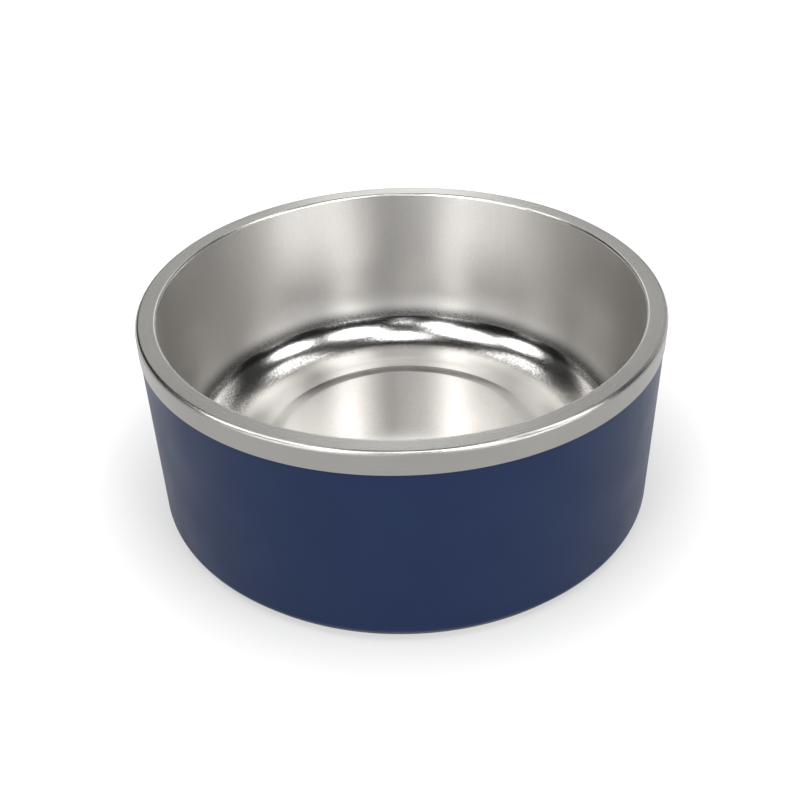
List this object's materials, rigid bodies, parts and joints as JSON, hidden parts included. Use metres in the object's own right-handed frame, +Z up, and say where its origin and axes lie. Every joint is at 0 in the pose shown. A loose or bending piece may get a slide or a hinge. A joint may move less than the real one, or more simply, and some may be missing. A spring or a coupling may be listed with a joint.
{
  "type": "pet bowl",
  "caption": "Round double-wall steel bowl for pet food or water, with a flat bare rim, a coated outer wall and a non-slip foot.",
  "frame": {"origin": "on the ground under the middle of the bowl", "axes": "+Z up along the bowl's axis, +Y away from the viewer, +X to the viewer's right"},
  "size_m": [0.216, 0.216, 0.0905],
  "materials": {
    "liner_steel": "satin bare steel, brighter in the corner between wall and floor",
    "gasket_rubber": "matt black rubber",
    "shell_coat": "satin dark blue powder coat on steel",
    "base_steel": "satin bare steel",
    "plug_rubber": "matt black rubber",
    "foot_rubber": "matt dark grey rubber"
  },
  "bodies": {
    "root": {"inner_bowl": "liner_steel", "rim_gasket": "gasket_rubber", "outer_shell": "shell_coat", "base_plate": "base_steel", "vent_plug": "plug_rubber", "non_slip_ring": "foot_rubber"}
  },
  "joints": []
}
